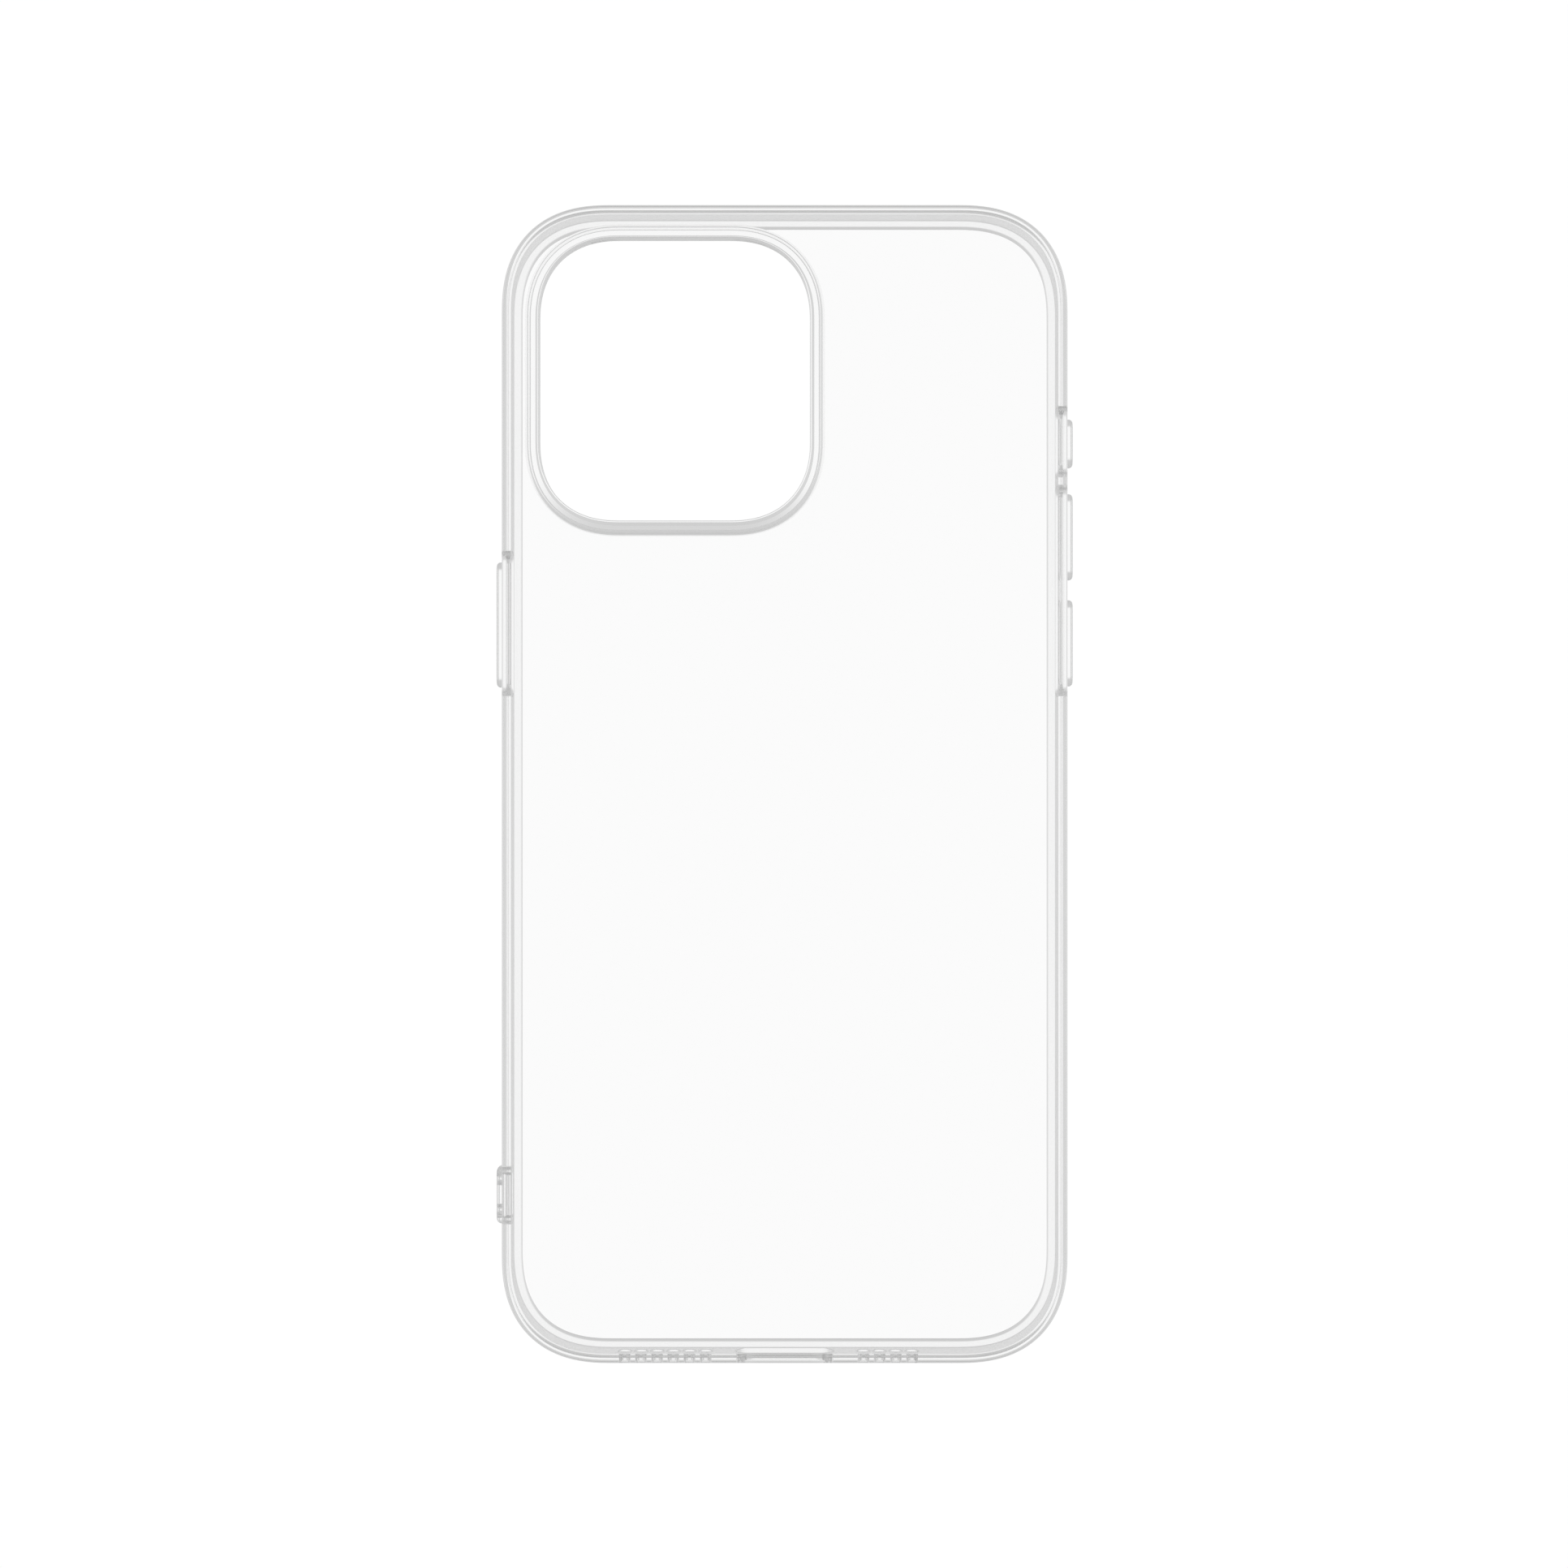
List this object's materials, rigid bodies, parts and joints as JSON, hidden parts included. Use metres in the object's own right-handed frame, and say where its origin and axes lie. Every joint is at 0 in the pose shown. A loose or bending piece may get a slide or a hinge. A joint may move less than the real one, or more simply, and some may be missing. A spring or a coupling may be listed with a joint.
{
  "type": "phone case",
  "caption": "Clear phone case with a rigid back, a soft bumper frame, a raised camera ring, press-through side buttons and a strap bar.",
  "frame": {"origin": "middle of the plane of the front lip's rim, on which the case lies face down", "axes": "+Z from the screen side to the back, +Y towards the camera end, +X towards the volume buttons (right, seen from the back)"},
  "size_m": [0.0814, 0.1626, 0.0133],
  "materials": {
    "clear_hard_plastic": "polished colourless polycarbonate, as moulded",
    "clear_soft_plastic": "polished colourless thermoplastic polyurethane",
    "clear_ring_plastic": "polished colourless thermoplastic polyurethane, thick section",
    "clear_button_plastic": "polished colourless thermoplastic polyurethane",
    "clear_web_plastic": "polished colourless thermoplastic polyurethane, thin section"
  },
  "bodies": {
    "case": {"back_plate": "clear_hard_plastic", "bumper_frame": "clear_soft_plastic", "camera_ring": "clear_ring_plastic", "side_button_web": "clear_web_plastic", "action_button_web": "clear_web_plastic", "volume_buttons_web": "clear_web_plastic", "strap_bar": "clear_button_plastic"},
    "side_button": {"side_button": "clear_button_plastic"},
    "action_button": {"action_button": "clear_button_plastic"},
    "volume_up_button": {"volume_up_button": "clear_button_plastic"},
    "volume_down_button": {"volume_down_button": "clear_button_plastic"}
  },
  "joints": [
    {"name": "side_button_press", "type": "slide", "parent": "case", "child": "side_button", "axis": [1, 0, 0], "range_m": [0, 0.0005], "stiffness_N_per_m": 3000},
    {"name": "action_button_press", "type": "slide", "parent": "case", "child": "action_button", "axis": [-1, 0, 0], "range_m": [0, 0.0005], "stiffness_N_per_m": 3000},
    {"name": "volume_up_button_press", "type": "slide", "parent": "case", "child": "volume_up_button", "axis": [-1, 0, 0], "range_m": [0, 0.0005], "stiffness_N_per_m": 3000},
    {"name": "volume_down_button_press", "type": "slide", "parent": "case", "child": "volume_down_button", "axis": [-1, 0, 0], "range_m": [0, 0.0005], "stiffness_N_per_m": 3000}
  ]
}
